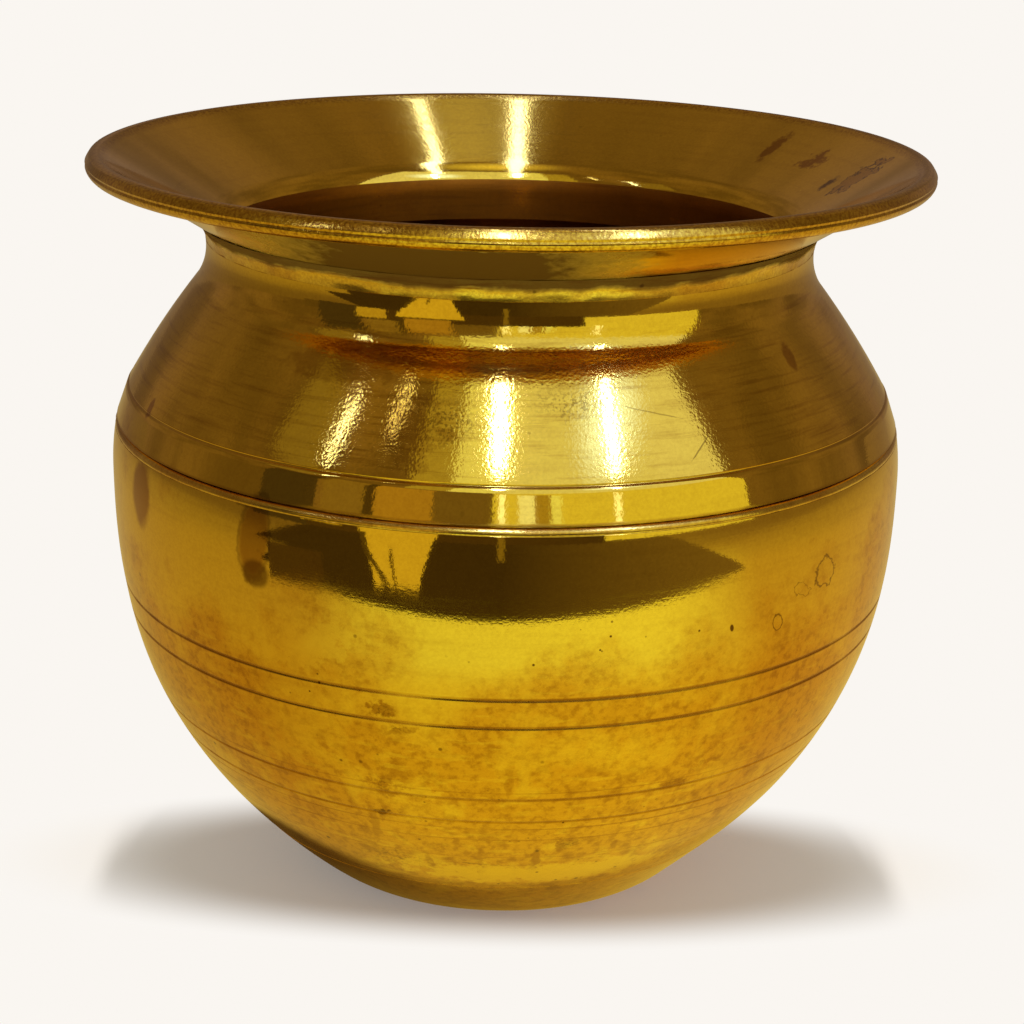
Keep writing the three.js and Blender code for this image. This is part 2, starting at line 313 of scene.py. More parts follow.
# Marks on the wall: azimuth from the front in degrees, height and radius in mm, half width and half height,
# tilt in degrees, how ragged, how strong, which tone, and whether only its outline shows
marks = {
    "shoulderSpotLeft": ((-62.8, 74.0, 53.2), (0.9, 1.5), 12, 0.3, 0.75, "brown", False),
    "shoulderSpotRight": ((51.6, 84.2, 46.8), (1.3, 2.1), -8, 0.35, 0.70, "brown", False),
    "blackPit": ((31.3, 53.4, 55.6), (0.38, 0.62), 15, 0.2, 0.95, "dirt", False),
    "ringPit": ((39.1, 52.7, 55.5), (0.95, 1.35), 10, 0.3, 0.75, "dirt", True),
    "scratchRing": ((48.2, 57.4, 56.0), (2.3, 2.4), 20, 0.5, 0.7, "dirt", True),
    "scratchTrail": ((43.5, 56.2, 56.0), (2.2, 0.9), -14, 0.9, 0.5, "dirt", True),
    "bodyCluster": ((-15.9, 43.3, 53.2), (2.1, 1.7), 0, 1.1, 0.72, "brown", False),
    "bodyClusterTail": ((-13.0, 40.6, 52.5), (2.6, 0.6), 18, 1.0, 0.5, "brown", False),
    "lobeLeft": ((-33.9, 63.6, 56.0), (2.9, 6.6), -5, 0.10, 0.76, "brown", False),
    "lobeLeftEdge": ((-33.9, 63.6, 56.0), (2.9, 6.6), -5, 0.25, 0.35, "dirt", True),
    "lobeLeftTip": ((-33.6, 59.0, 56.0), (2.6, 2.3), -5, 0.10, 0.72, "dirt", False),
    "shoulderLow": ((-13.0, 78.5, 50.5), (4.0, 4.5), 0, 1.3, 0.35, "brown", False),
    "lobeFarLeft": ((-59.5, 63.4, 56.0), (3.6, 5.6), 0, 0.12, 0.9, "brown", False),
    "dripLeft": ((-12.2, 16.5, 38.6), (0.8, 3.4), 4, 0.5, 0.55, "brown", False),
    "dripRight": ((6.7, 18.0, 40.5), (0.9, 4.4), 0, 0.6, 0.65, "brown", False),
    "dripFarLeft": ((-20.0, 24.5, 45.5), (0.9, 4.6), -4, 0.6, 0.45, "brown", False),
    "wavyScratch": ((-3.0, 16.9, 39.3), (5.0, 0.16), -5, 1.2, 0.55, "dirt", False),
    "diagonalScratch": ((27.6, 76.2, 52.0), (3.2, 0.12), 38, 0.5, 0.6, "dirt", False),
    "curvedScratch": ((22.0, 80.6, 49.6), (5.0, 0.10), -14, 0.6, 0.45, "dirt", False),
    "smudgeRim": ((99.0, 101.0, 52.8), (2.8, 3.4), 30, 0.9, 0.55, "brown", False),
    "smudgeRimEdge": ((99.0, 101.0, 52.8), (2.8, 3.4), 30, 0.9, 0.95, "dirt", True),
    "smudgeRimEnd": ((104.0, 99.6, 51.6), (1.5, 1.4), 20, 0.6, 0.9, "dirt", False),
    "smudgeMiddle": ((116.0, 101.0, 52.6), (3.0, 1.6), 0, 0.9, 0.8, "brown", False),
    "smudgeBack": ((128.0, 101.3, 53.0), (1.4, 2.8), 10, 0.5, 0.8, "brown", False),
    "stainRight": ((27.0, 30.6, 48.0), (2.7, 0.9), -10, 1.1, 0.6, "brown", False),
    "stainFarRight": ((33.0, 33.4, 49.5), (2.1, 0.5), -8, 1.0, 0.45, "brown", False),
    "stainLeft": ((-16.0, 31.5, 48.6), (2.6, 2.4), 0, 1.0, 0.5, "brown", False),
    "specksRight": ((10.4, 21.0, 42.6), (1.2, 1.6), 0, 1.3, 0.65, "brown", False),
    "specksFarRight": ((20.0, 20.4, 42.2), (0.7, 1.4), 20, 0.9, 0.6, "brown", False),
    "specksLeft": ((-17.6, 26.4, 45.8), (1.6, 0.7), 10, 1.2, 0.8, "dirt", False),
    "islandLeft": ((-16.0, 16.0, 38.2), (2.8, 1.5), 4, 0.5, 0.6, "clean", False),
    "islandRight": ((0.0, 15.0, 37.4), (2.6, 1.1), -6, 0.5, 0.5, "clean", False),
    "islandUpper": ((-11.0, 30.8, 48.4), (3.0, 1.6), 0, 0.8, 0.55, "clean", False),
    # A painted reflection: the flare's dark underside as mirrored in the neck sweep, widened to the left
    "paintedShelfReflection": ((-26.0, 84.8, 46.5), (10, 2.2), 4, 0.5, 0.45, "brown", False),
    "dripLow": ((-3.0, 18.0, 40.4), (0.7, 5.0), 0, 0.7, 0.45, "brown", False),
    "dripMiddle": ((1.5, 33.0, 49.4), (0.8, 3.0), 3, 0.9, 0.35, "brown", False),
    "islandBase": ((8.0, 14.6, 37.0), (22, 3.0), 0, 0.6, 0.8, "clean", False),
    "patinaEdge": ((-26.0, 50.5, 55.4), (9.0, 3.6), 22, 0.8, 0.55, "clean", False),
}

# Places with many small pits: azimuth, height and radius, half width and half height in mm
pitFields = {
    "front": ((8, 53, 55.6), (16, 5.5)),
    "frontRight": ((26, 52, 55.4), (9, 5)),
    "low": ((4, 28, 46.8), (22, 8)),
    "left": ((-24, 47, 54.2), (9, 7)),
    "lineLeft": ((-14, 41.5, 52.6), (10, 1.6)),
    "shoulder": ((8, 81.5, 48.5), (13, 4)),
    "shoulderLeft": ((-12, 80, 49.5), (6, 5)),
}

# Places with crowded grains of dirt
grainFields = {
    "cluster": ((-15.9, 43.2, 53.2), (2.6, 1.9)),
    "clusterLow": ((-13.2, 40.8, 52.5), (2.2, 0.9)),
    "lowLeft": ((-17.0, 31.6, 48.6), (3.4, 2.6)),
    "lowSpecks": ((-17.0, 26.2, 45.8), (3.0, 0.8)),
    "lowRight": ((12.0, 21.4, 42.8), (3.0, 1.6)),
    "stainRight": ((27.0, 30.8, 48.0), (3.2, 1.0)),
    "shoulderRight": ((10.0, 82.0, 48.0), (6.5, 2.6)),
    "shoulderMiddle": ((-8.0, 80.0, 49.6), (6.0, 4.0)),
    "bottomLeft": ((-20.0, 17.0, 39.4), (7.0, 3.0)),
}

# Painted shade on the underside of the flare, deepest in front: heights and sideways places in mm
underFlareShade = {"low": (95.0, 96.0), "high": (102.4, 101.6), "left": (-36, -22), "right": (18, 5),
                   "back": (10, -10), "facingDown": (-0.25, -0.55), "raggedUp": 2.5, "raggedAside": 14,
                   "strength": 0.95}

# Patterns by name, with sizes in mm
patterns = {
    "fineRings": {"Pitch": 0.22, "Around": 5.0, "Detail": 3.0},
    "broadRings": {"Pitch": 1.3, "Around": 2.6, "Detail": 3.0},
    "brushLines": {"Pitch": 0.7, "Around": 4.5, "Detail": 4.0},
    "cloud": {"Size": 13.0, "Low": 0.30, "High": 0.72, "Detail": 6.0, "Seed": 2.0},
    "mottle": {"Size": 3.4, "Low": 0.50, "High": 0.68, "Detail": 6.0, "Seed": 5.0},
    "grit": {"Size": 1.1, "Low": 0.44, "High": 0.66, "Detail": 5.0, "Seed": 8.0},
    "scuff": {"Size": 5.0, "Low": 0.52, "High": 0.66, "Detail": 7.0, "Seed": 11.0},
    "polish": {"Size": 5.5, "Low": 0.54, "High": 0.66, "Detail": 6.0, "Seed": 21.0},
    "crowdedGrains": {"Size": 0.38, "Low": 0.48, "High": 0.60, "Detail": 2.0, "Seed": 3.0},
    "specks": {"Spacing": 2.6, "Radius": 0.12},
    "smallPits": {"Spacing": 1.35, "Share": 0.32, "Radius": 0.135},
}

# How the patterns lie on every finish
wear = {
    # sides: the widths across, in mm, over which the painted side shade grows
    "grainSize": 0.42, "raggedSize": 2.2, "sides": (38, 56), "brownRagged": 0.6,
    # Share on clean brass, and what full patina adds
    "specksOn": (0.15, 0.85), "gritOn": (0.08, 0.75),
    "polishSquash": (1, 1, 4.5),
    "ringLevels": (0.52, 0.75), "ringShare": 0.16, "ringRoughness": 0.25,
    "brushLevels": (0.50, 0.72), "brushFade": 2,
    "coarseLevels": (0.35, 0.68), "rollBase": 0.35,
    "mouthHeights": (93.5, 96), "rollRadii": (55.2, 56.0), "rollAbove": 100.0,
    # How the painted shade in the neck braze rises, how strong it is and how rough
    "shadeRise": 0.7, "shadeShare": 0.92, "shadeRoughness": 0.45,
    "markRagged": 3, "markSoftness": 0.4, "outlineSoftness": 0.14, "markDepthInWall": 8, "markDepthShare": 0.7,
    "crowdedShare": 0.55, "fieldRagged": 1.2, "pitFieldSoftness": 0.6, "grainFieldSoftness": 0.9,
    "lineEdges": (1.5, 0.5), "lineGaps": 0.8, "lineWhole": 0.75, "lineRoughness": 0.35,
    "brushTurn": 0.25, "brushStretch": 0.4,
}


def underFlareShadeMask(tree, place, height, ragged):
    # Painted shade: dark where the wall faces down under the flare, in front
    flareShade = underFlareShade
    facing = addNode(tree, "ShaderNodeNewGeometry").outputs["Normal"]
    sway, sides = split(tree, ragged), split(tree, place)
    level = total(tree, height, product(tree, sway[0], flareShade["raggedUp"]))
    side = total(tree, sums(tree, "DIVIDE", sides[0], mm), product(tree, sway[1], flareShade["raggedAside"]))
    depth = sums(tree, "DIVIDE", sides[1], mm)
    mask = ranged(tree, split(tree, facing)[2], *flareShade["facingDown"])
    for value, limit in ((level, "low"), (level, "high"), (side, "left"), (side, "right"), (depth, "back")):
        mask = product(tree, mask, ranged(tree, value, *flareShade[limit]))
    return product(tree, mask, flareShade["strength"])


def brassMaterial(finish, ownMarks=()):
    material, tree = newMaterial(finish["name"])
    place = objectPlace(tree)
    parts = split(tree, place)
    height = sums(tree, "DIVIDE", parts[2], mm)
    radius = lengthOf(tree, vectors(tree, "MULTIPLY", place, (1, 1, 0)))

    def pattern(group, name, vector=place, **own):
        return placedGroup(tree, group, {"Vector": vector, **patterns[name], **own}, 0)

    def noiseOf(size, detail, roughness):
        return addNode(tree, "ShaderNodeTexNoise", {
            "Vector": place, "Scale": 1 / mm / size, "Detail": detail, "Roughness": roughness}).outputs

    def below(top, full, raggedness):
        fall = sums(tree, "DIVIDE", sums(tree, "SUBTRACT", top, height), top - full)
        return total(tree, fall, product(tree, cloud, raggedness))

    def onPatina(clean, added):
        return total(tree, product(tree, patina, added), clean)

    def spotAt(where, size, raggedness, softness, tilt=0, output="Mask"):
        (azimuth, level, away), (across, up) = where, size
        turn = math.radians(azimuth)
        return placedGroup(
            tree, spots,
            {"Vector": place, "Ragging": ragged, "Turn": turn, "Tilt": math.radians(tilt),
             "Place": (away * math.sin(turn), -away * math.cos(turn), level),
             "Reach": (across, max(wear["markDepthInWall"], across * wear["markDepthShare"]), up),
             "Ragged": raggedness, "Softness": softness}, output)

    fine = pattern(turningMarks, "fineRings")
    broad = pattern(turningMarks, "broadRings")
    grain = noiseOf(wear["grainSize"], 1.0, 0.6)[0]
    ragged = vectors(tree, "SUBTRACT", noiseOf(wear["raggedSize"], 4.0, 0.65)["Color"], (0.5, 0.5, 0.5))
    cloud = sums(tree, "SUBTRACT", pattern(blotches, "cloud"), 0.5)

    # Patina and brown patches, more of both lower down, with painted shade added at the left and right sides
    low, high = wear["sides"]
    sideShade = ranged(tree, sums(tree, "ABSOLUTE", parts[0]), low * mm, high * mm, finish["sideShadeStrength"])
    patina = below(finish["patinaTop"], finish["patinaFull"], finish["patinaRagged"])
    patina = product(tree, total(tree, patina, sideShade, clamp=True), finish["patinaStrength"])
    brownZone = below(finish["brownTop"], finish["brownFull"], wear["brownRagged"])
    brownZone = total(tree, brownZone, 0.0, clamp=True)
    mottle = pattern(blotches, "mottle")
    grit = pattern(blotches, "grit")
    scuff = pattern(blotches, "scuff")
    specks = product(tree, pattern(pits, "specks", Share=finish["pitShare"]), onPatina(*wear["specksOn"]))
    tone = blended(tree, patina, finish["clean"], finish["aged"])
    tone = blended(tree, product(tree, mottle, brownZone, finish["brownShare"]), tone, finish["brown"])
    gritty = product(tree, grit, onPatina(*wear["gritOn"]), finish["gritShare"])
    tone = blended(tree, gritty, tone, finish["brown"])
    # Polish left in short streaks round the vessel
    along = vectors(tree, "MULTIPLY", place, wear["polishSquash"])
    polish = product(tree, pattern(blotches, "polish", along), patina, finish["streakShare"])
    tone = blended(tree, polish, tone, finish["clean"])
    tone = blended(tree, product(tree, scuff, brownZone, finish["scuffShare"]), tone, finish["clean"])

    # Turning rings everywhere, brush lines on the shoulder, grain on the rolled edge
    streak = ranged(tree, broad, *wear["ringLevels"], wear["ringShare"])
    end = finish["brushedEnd"]
    brushed = product(tree, ranged(tree, height, finish["brushedFrom"], finish["brushedTo"]),
                      ranged(tree, height, end + wear["brushFade"], end))
    mouthZone = ranged(tree, height, *wear["mouthHeights"])
    low, high = wear["rollRadii"]
    rollZone = product(tree, ranged(tree, radius, low * mm, high * mm),
                       sums(tree, "GREATER_THAN", height, wear["rollAbove"]))
    lines = ranged(tree, pattern(turningMarks, "brushLines"), *wear["brushLevels"])
    lines = product(tree, lines, brushed, finish["brushedStreaks"], clamp=True)
    tone = blended(tree, sums(tree, "MAXIMUM", streak, lines), tone, finish["brown"])
    coarse = ranged(tree, grain, *wear["coarseLevels"])
    onRoll = product(tree, total(tree, coarse, wear["rollBase"]), rollZone, finish["rollBrown"])
    grained = total(tree, onRoll, product(tree, coarse, finish["grainShare"]), clamp=True)
    tone = blended(tree, grained, tone, finish["brown"])
    rough = total(
        tree, finish["roughness"], product(tree, patina, finish["agedRoughness"]),
        product(tree, grain, finish["grainRoughness"]), product(tree, streak, wear["ringRoughness"]),
        product(tree, brushed, finish["brushedRoughness"]), product(tree, mouthZone, finish["mouthRoughness"]),
        product(tree, rollZone, finish["rollRoughness"]))

    for where, size, tilt, raggedness, strength, toneName, outlined in ownMarks:
        softness, output = (wear["outlineSoftness"], "Edge") if outlined else (wear["markSoftness"], "Mask")
        spot = spotAt(where, size, raggedness * wear["markRagged"], softness, tilt, output)
        tone = blended(tree, product(tree, spot, strength), tone, finish[toneName])
    # Painted shade under the flare and high in the neck braze's crease doesn't shine: it isn't metal
    paintedShade, metal = None, 1.0
    if ownMarks:
        paintedShade = underFlareShadeMask(tree, place, height, ragged)
    elif "shadeFrom" in finish:
        paintedShade = ranged(tree, total(tree, height, cloud), finish["shadeFrom"],
                       finish["shadeFrom"] + wear["shadeRise"], wear["shadeShare"])
    if paintedShade is not None:
        tone = blended(tree, paintedShade, tone, finish["paintedShadeColour"])
        rough = total(tree, rough, product(tree, paintedShade, wear["shadeRoughness"]))
        metal = sums(tree, "SUBTRACT", 1.0, paintedShade)
    if ownMarks:
        small = pattern(pits, "smallPits")
        crowded = product(tree, pattern(blotches, "crowdedGrains"), wear["crowdedShare"])
        for fields, kind, softness in ((pitFields, small, wear["pitFieldSoftness"]),
                                       (grainFields, crowded, wear["grainFieldSoftness"])):
            for where, size in fields.values():
                field = spotAt(where, size, wear["fieldRagged"], softness)
                specks = sums(tree, "MAXIMUM", specks, product(tree, field, kind))
        start, full = wear["lineEdges"]
        for level, halfWidth, strength in ringLines.values():
            away = sums(tree, "ABSOLUTE", sums(tree, "SUBTRACT", height, level))
            near = ranged(tree, away, halfWidth * start, halfWidth * full, strength)
            broken = total(tree, product(tree, cloud, wear["lineGaps"]), wear["lineWhole"], clamp=True)
            inLine = product(tree, near, broken)
            tone = blended(tree, inLine, tone, finish["brown"])
            rough = total(tree, rough, product(tree, inLine, wear["lineRoughness"]))
    colour = blended(tree, specks, tone, finish["dirt"])

    rings = addNode(tree, "ShaderNodeBump", {
        "Height": sums(tree, "SUBTRACT", fine, specks), "Strength": 1.0,
        "Distance": finish["markDepth"] * mm}).outputs[0]
    deeper = total(tree, 1.0, product(tree, brushed, finish["brushedGrain"]),
                   product(tree, mouthZone, finish["mouthGrain"]), product(tree, rollZone, finish["rollGrain"]))
    speckled = addNode(tree, "ShaderNodeBump", {
        "Height": product(tree, grain, deeper), "Strength": 1.0, "Normal": rings,
        "Distance": finish["grainDepth"] * mm}).outputs[0]
    tangent = addNode(tree, "ShaderNodeTangent", direction_type="RADIAL", axis="Z").outputs[0]
    showShader(tree, addNode(tree, "ShaderNodeBsdfPrincipled", {
        "Base Color": colour, "Metallic": metal, "Roughness": rough,
        "Normal": speckled, "Anisotropic": wear["brushStretch"], "Anisotropic Rotation": wear["brushTurn"],
        "Tangent": tangent, "Specular IOR Level": 0.0}))
    return material


outsideBrass = brassMaterial(turnedBrass, marks.values())
insideBrass = brassMaterial(darkInside)
brazeBrass = brassMaterial(filedBraze)
print("materials made")

# The vessel's turned outline, in mm of radius and height, as the frame has it

vessel = {
    "mouthRadius": 58.45, "flareSlope": math.radians(32.3), "neckRadius": 42.4, "neckHeight": 93.1,
    "bellyRadius": 56.1, "bellyHeight": 61.6, "bowlDepth": 76, "bellyExponent": 2.47, "taperExponent": 1.12,
    "crownCurve": 34, "footRadius": 19.5, "heelHeight": 3.2,
    "bodySheet": 1.1, "mouthSheet": 0.8, "lipDepth": 1.35,
    "baseSeam": 10.6, "baseSeamWidth": 1.4, "baseLap": 3.6,
    "bellySeam": 66.6, "bellySeamWidth": 2.2, "bellyLap": 3.8,
    "bandHeight": 4.2, "bandTaper": 1.5, "shoulderSwell": 0.3,
    "neckSweep": 9.0, "sweepHeight": 92.5, "neckTop": 93.45, "neckLap": 5, "neckHollow": 4.6,
    "roll": 1.45, "wireSpace": 0.65, "rollOpening": 0.3,
    "segments": 256, "wave": 0.045, "waveLength": 16, "waveAbove": 4, "lopsidedFrom": 18,
    "cornerAngle": 38, "darkInsideBelow": 94.2, "nearStep": 0.6,
    # How far the lower wall stands off the true round on each side: height and push in mm
    "left": [(0, 0.35), (4, 0.5), (12, 0.45), (33, 0.3), (45, 0)],
    "right": [(0, 0.5), (2.5, 0.2), (5, -0.2), (8, -0.4), (12, -0.2), (18, 0)],
}
collarRadius = vessel["neckRadius"] - vessel["lipDepth"]
cornerCentre = Vector((vessel["neckRadius"] + vessel["neckHollow"], vessel["neckHeight"]))


def underFlare(radius, distance):
    rise = (radius - cornerCentre.x) * math.tan(vessel["flareSlope"])
    lift = (vessel["neckHollow"] - distance) / math.cos(vessel["flareSlope"])
    return Vector((radius, cornerCentre.y + rise + lift))


throatCentre = underFlare(collarRadius + vessel["neckHollow"], vessel["neckHollow"])
rollCentre = underFlare(vessel["mouthRadius"] - vessel["roll"], vessel["wireSpace"])
acrossFlare = math.pi / 2 + vessel["flareSlope"]


def around(centre, radius, angle):
    return Vector((centre.x + radius * math.cos(angle), centre.y + radius * math.sin(angle)))


def arcPoints(centre, radius, start, end, steps):
    return [around(centre, radius, start + (end - start) * i / steps) for i in range(steps + 1)]


def bowlRadius(height):
    below = vessel["bellyHeight"] - height
    if below < 0:
        return vessel["bellyRadius"] - vessel["crownCurve"] + math.sqrt(vessel["crownCurve"] ** 2 - below ** 2)
    share = min(1, below / vessel["bowlDepth"])
    return vessel["bellyRadius"] * (1 - share ** vessel["bellyExponent"]) ** (1 / vessel["taperExponent"])


def moved(path, distance, sharpest=0.2):
    # The path set off to its left, as a wall's other side
    shifted = []
    for i, point in enumerate(path):
        before = point - path[max(0, i - 1)]
        after = path[min(len(path) - 1, i + 1)] - point
        arriving = (before if before.length > 0 else after).normalized()
        leaving = (after if after.length > 0 else before).normalized()
        run = (arriving + leaving).normalized()
        reach = distance / max(sharpest, run.dot(leaving))
        shifted.append(Vector((point.x - run.y * reach, point.y + run.x * reach)))
    return shifted


def lineCut(offset, line, roundness=1.4, burrWidth=0.9):
    # How deep a scribed line is at a distance from its middle, with the burr that it throws up beside it
    reach = abs(offset) / (line["width"] / 2)
    if reach < 1:
        return line["depth"] * (1 - reach ** roundness)
    beyond = (reach - 1) / burrWidth
    return -line["burr"] * math.sin(math.pi * beyond) if beyond < 1 else 0


def steppedHeights(low, high, step, lines, fineStep=0.07):
    heights = {round(low + (high - low) * i / round((high - low) / step), 4)
               for i in range(round((high - low) / step) + 1)}
    for line in lines:
        near = line["width"]
        count = round(2 * near / fineStep)
        heights = {z for z in heights if abs(z - line["height"]) > near or z in (low, high)}
        heights |= {round(line["height"] - near + 2 * near * i / count, 4) for i in range(count + 1)}
    return sorted(z for z in heights if low <= z <= high)


def bowlPath(low, high, step, lines=()):
    path = []
    for z in steppedHeights(low, high, step, lines):
        cut = sum(lineCut(z - line["height"], line) for line in lines)
        path.append(Vector((bowlRadius(z) - cut, z)))
    return path


def trueness(point):
    # Turned sheet is never quite round: a slow waver in the wall
    scale = vessel["waveLength"] * mm
    return noise.noise(point / scale) * vessel["wave"] * mm


def lumps(point, unevenness):
    height, length = unevenness
    return noise.noise(point / (length * mm)) * height * mm


def lopsided(point):
    side = "left" if point.x < 0 else "right"
    stops = vessel[side]
    height = point.z / mm
    push = stops[-1][1] if height < stops[-1][0] else 0
    for (low, first), (high, second) in zip(stops, stops[1:]):
        if low <= height <= high:
            push = first + (second - first) * (height - low) / (high - low)
    return push * mm * abs(point.x) / Vector((point.x, point.y)).length


def addPiece(name, bm, materials):
    mesh = bpy.data.meshes.new(name)
    bm.to_mesh(mesh)
    bm.free()
    for material in materials:
        mesh.materials.append(material)
    piece = bpy.data.objects.new(name, mesh)
    scene.collection.objects.link(piece)
    return piece


def turnedPiece(name, outline, materials, node, closed=True, unevenness=None):
    bm = bmesh.new()
    ends = [bm.verts.new((max(0.0, point.x) * mm, 0, point.y * mm)) for point in outline]
    pairs = list(zip(ends, ends[1:])) + ([(ends[-1], ends[0])] if closed else [])
    edges = [bm.edges.new(pair) for pair in pairs]
    bmesh.ops.spin(bm, geom=ends + edges, cent=(0, 0, 0), axis=(0, 0, 1), angle=2 * math.pi,
                   steps=vessel["segments"], use_merge=True)
    bmesh.ops.remove_doubles(bm, verts=bm.verts, dist=1e-7)
    bmesh.ops.recalc_face_normals(bm, faces=bm.faces)
    for vertex in bm.verts:
        flat = Vector((vertex.co.x, vertex.co.y, 0))
        if flat.length > 1e-4 and vertex.co.z > vessel["waveAbove"] * mm:
            out = trueness(vertex.co) + (lumps(vertex.co, unevenness) if unevenness else 0)
            vertex.co += flat.normalized() * out
        if flat.length > vessel["lopsidedFrom"] * mm:
            vertex.co += flat.normalized() * lopsided(vertex.co)
    bm.normal_update()
    for edge in bm.edges:
        edge.smooth = edge.calc_face_angle(0) < math.radians(vessel["cornerAngle"])
    for face in bm.faces:
        face.smooth = True
        centre = face.calc_center_median()
        inwards = face.normal.dot(Vector((centre.x, centre.y, 0))) < 0 or centre.length < 1e-4
        dark = inwards and centre.z < vessel["darkInsideBelow"] * mm
        face.material_index = int(dark and len(materials) > 1)
    piece = addPiece(name, bm, materials)
    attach(piece, "root")
    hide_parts(node)
    print(name, "made:", len(piece.data.polygons), "faces")
    return piece


def seamPoint(height, distance):
    # The point at a depth under the bowl's outline
    reach = vessel["nearStep"]
    near = [Vector((bowlRadius(z), z)) for z in (height - reach, height, height + reach)]
    return moved(near, distance)[1]


# The base: foot, heel, start of the bowl's outline, lip

basePiece = {"step": 0.8, "heelSteps": 14, "sole": (0, 6, 13)}


def makeBase():
    foot = Vector((vessel["footRadius"], 0))
    heelTop = Vector((bowlRadius(vessel["heelHeight"]), vessel["heelHeight"]))
    slope = (bowlRadius(vessel["heelHeight"] + vessel["nearStep"]) - heelTop.x) / vessel["nearStep"]
    corner = Vector((heelTop.x - slope * vessel["heelHeight"], 0))
    heel = []
    for i in range(basePiece["heelSteps"] + 1):
        t = i / basePiece["heelSteps"]
        heel.append(foot * (1 - t) ** 2 + corner * (2 * t * (1 - t)) + heelTop * t ** 2)
    sole = [Vector((radius, 0)) for radius in basePiece["sole"]]
    outside = sole + heel + bowlPath(vessel["heelHeight"], vessel["baseSeam"], basePiece["step"])[1:]
    lipStart = vessel["baseSeam"] + vessel["baseSeamWidth"] / 2
    lipEnd = vessel["baseSeam"] + vessel["baseSeamWidth"] + vessel["baseLap"]
    lip = moved(bowlPath(lipStart, lipEnd, basePiece["step"]), vessel["lipDepth"])
    inside = moved(outside + lip, vessel["bodySheet"])
    inside[0].x = 0
    return turnedPiece("base", outside + lip + inside[::-1], [outsideBrass, insideBrass],
                       "base_disc", closed=False)


# The bowl, with its scribed lines

bowlPiece = {
    "step": 1.1,
    "lines": [
        {"height": 45.9, "width": 0.5, "depth": 0.10, "burr": 0.006},
        {"height": 41.8, "width": 0.5, "depth": 0.11, "burr": 0.006},
        {"height": 30.1, "width": 0.42, "depth": 0.08, "burr": 0.004},
        {"height": 26.0, "width": 0.42, "depth": 0.08, "burr": 0.004},
    ],
    # The upper edge over the seam: its rise and round, and the points behind it as drop and depth
    "coverRise": 0.95, "edgeRound": 0.05, "edgeTurn": 83.7, "edgeSteps": 3,
    "behindEdge": ((0, 0.5), (0.85, 0.6)),
}


def bandEnds():
    footHeight = vessel["bellySeam"] + vessel["bellySeamWidth"]
    foot = Vector((bowlRadius(footHeight), footHeight))
    return foot, Vector((foot.x - vessel["bandTaper"], foot.y + vessel["bandHeight"]))


def makeBowl():
    low = vessel["baseSeam"] + vessel["baseSeamWidth"]
    foot, head = bandEnds()
    rise = (head - foot).normalized()
    lipHead = foot + rise * vessel["bellyLap"]
    middle = vessel["bellySeam"] + vessel["bellySeamWidth"] / 2
    lip = [seamPoint(middle, vessel["lipDepth"])] + moved([foot, lipHead], vessel["lipDepth"])
    rounding = bowlPiece["edgeRound"]
    top = vessel["bellySeam"] + bowlPiece["coverRise"]
    wall = bowlPath(low, top - rounding, bowlPiece["step"], bowlPiece["lines"])
    edgeCentre = Vector((wall[-1].x - rounding, wall[-1].y))
    edge = arcPoints(edgeCentre, rounding, 0, math.radians(bowlPiece["edgeTurn"]), bowlPiece["edgeSteps"])[1:]
    behind = [seamPoint(top - drop, depth) for drop, depth in bowlPiece["behindEdge"]]
    outside = wall + edge + behind + lip
    plain = bowlPath(low, vessel["bellySeam"], bowlPiece["step"])
    inside = moved(plain + lip, vessel["bodySheet"])
    return turnedPiece("bowl", outside + inside[::-1], [outsideBrass, insideBrass], "bowl_shell")


# The shoulder, with one scribed line over its band

shoulderPiece = {"line": {"width": 0.6, "depth": 0.2, "burr": 0.02}, "lineSteps": 8, "bandSteps": 6,
                 "bandEnd": 0.985, "coneSteps": 16, "sweepSteps": 20}


def shoulderOutside():
    foot, head = bandEnds()
    centre = Vector((vessel["neckRadius"] + vessel["neckSweep"], vessel["sweepHeight"]))
    away = centre - head
    lean = math.atan2(away.y, away.x) + math.asin(min(1, vessel["neckSweep"] / away.length))
    cone = Vector((math.cos(lean), math.sin(lean)))
    line, steps, bandSteps = shoulderPiece["line"], shoulderPiece["lineSteps"], shoulderPiece["bandSteps"]
    start = head + cone * line["width"]
    sweep = arcPoints(centre, vessel["neckSweep"], lean + math.pi / 2,
                      math.pi - math.asin((vessel["neckTop"] - vessel["sweepHeight"]) / vessel["neckSweep"]),
                      shoulderPiece["sweepSteps"])
    band = [foot.lerp(head, i / bandSteps) for i in range(bandSteps)]
    band.append(foot.lerp(head, shoulderPiece["bandEnd"]))
    cut = []
    for i in range(1, steps):
        depth = lineCut(line["width"] * (i / steps - 0.5), line)
        cut.append(head + cone * (line["width"] * i / steps) - Vector((depth, 0)))
    swelling = []
    for i in range(shoulderPiece["coneSteps"]):
        share = i / shoulderPiece["coneSteps"]
        swell = vessel["shoulderSwell"] * 4 * share * (1 - share)
        swelling.append(start.lerp(sweep[0], share) + Vector((cone.y, -cone.x)) * swell)
    return band, cut, swelling, sweep


def makeShoulder():
    band, cut, swelling, sweep = shoulderOutside()
    inside = moved([band[0], band[-1], *swelling[1:], *sweep], vessel["bodySheet"])
    outline = [*band, *cut, *swelling, *sweep, *inside[::-1]]
    return turnedPiece("shoulder", outline, [outsideBrass, insideBrass], "shoulder_shell")


# The mouth: collar, flare and rolled edge

mouthPiece = {"flareSteps": 14, "throatSteps": 18, "hollowSteps": 16, "rollSteps": 72,
              "rollLine": {"angle": 0, "width": 0.55, "depth": 0.16, "burr": 0},
              "rollFace": {"from": math.radians(13), "to": math.radians(53), "flatness": 0.8}}


